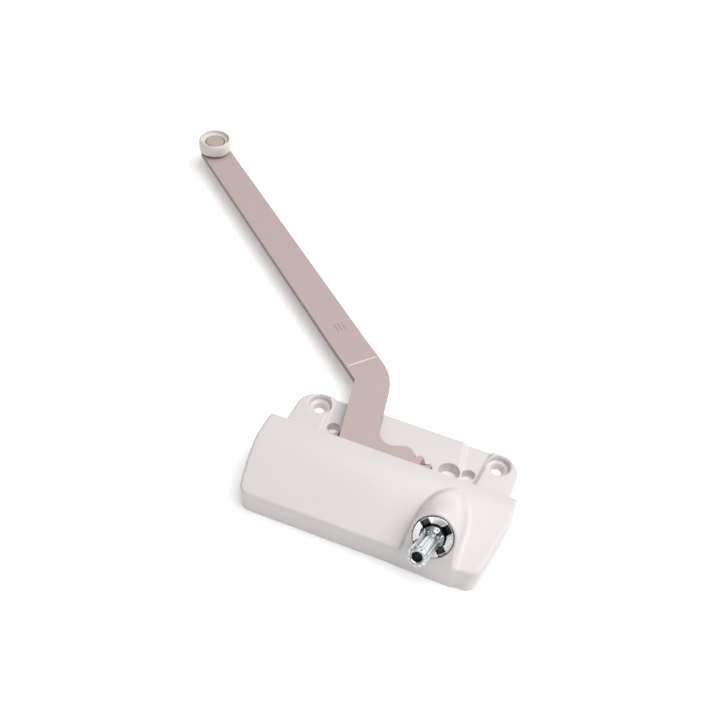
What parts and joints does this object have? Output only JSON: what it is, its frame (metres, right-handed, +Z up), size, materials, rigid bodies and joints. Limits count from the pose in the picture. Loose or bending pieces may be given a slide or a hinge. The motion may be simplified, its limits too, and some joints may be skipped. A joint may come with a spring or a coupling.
{
  "type": "window crank operator",
  "caption": "Single-arm casement window operator: a sloping worm and splined crank stub turn a toothed steel arm with a roller for the sash track.",
  "frame": {"origin": "midway between the two sill screw holes, on the underside of the flange", "axes": "+X along the housing towards the crank stub, +Y out of the window, +Z up from the sill"},
  "size_m": [0.2238, 0.2296, 0.0387],
  "materials": {
    "enamel": "glossy off-white enamel over a die casting",
    "taupe_coat": "satin taupe coating on steel, worn bright at the tooth edges",
    "taupe_rivet": "satin taupe coating on a domed rivet",
    "roller_nylon": "cream moulded nylon, slightly translucent",
    "bright_zinc": "bright zinc plate with fine turning marks",
    "nut_zinc": "bright zinc plate, bright faces and dark slots",
    "worm_steel": "machined steel with a film of grease",
    "bronze": "sintered bronze, oiled",
    "nylon_washer": "natural nylon",
    "spring_steel": "oiled spring steel",
    "stud_steel": "turned steel, zinc plated",
    "rivet_steel": "zinc-plated steel",
    "screw_steel": "zinc-plated steel with a drive recess",
    "plated_plate": "rolled zinc-plated sheet",
    "seal_rubber": "black rubber"
  },
  "bodies": {
    "housing": {"base_casting": "enamel", "bottom_plate": "plated_plate", "bottom_plate_rivets": "rivet_steel", "front_cover": "enamel", "cover_screws": "screw_steel", "pivot_stud": "stud_steel", "lower_pivot_washer": "nylon_washer", "upper_pivot_washer": "nylon_washer", "pivot_clip": "spring_steel", "worm_thrust_washer": "bronze", "front_bearing_bush": "bronze", "rear_bearing_bush": "bronze", "shaft_seal": "seal_rubber", "ring_nut": "nut_zinc"},
    "arm": {"gear_arm": "taupe_coat", "pivot_bushing": "bronze", "roller_stud": "taupe_rivet", "roller_washer": "rivet_steel"},
    "crank": {"crank_shaft": "bright_zinc", "worm": "worm_steel", "worm_pin": "spring_steel"},
    "track_roller": {"roller": "roller_nylon"}
  },
  "joints": [
    {"name": "arm_swing", "type": "hinge", "parent": "housing", "child": "arm", "pos_m": [0.001, -0.0346, 0.0084], "axis": [0, 0, 1], "range_deg": [-62, 40]},
    {"name": "crank_turn", "type": "hinge", "parent": "housing", "child": "crank", "pos_m": [0.0293, -0.0419, 0.0084], "axis": [0, -0.8039, 0.5948], "range_deg": [-1080, 1674]},
    {"name": "roller_spin", "type": "hinge", "parent": "arm", "child": "track_roller", "pos_m": [-0.161, 0.1399, 0.01355], "axis": [0, 0, 1], "continuous": true}
  ],
  "couplings": [
    {"joint": "crank_turn", "follows": "arm_swing", "ratio": -27}
  ]
}
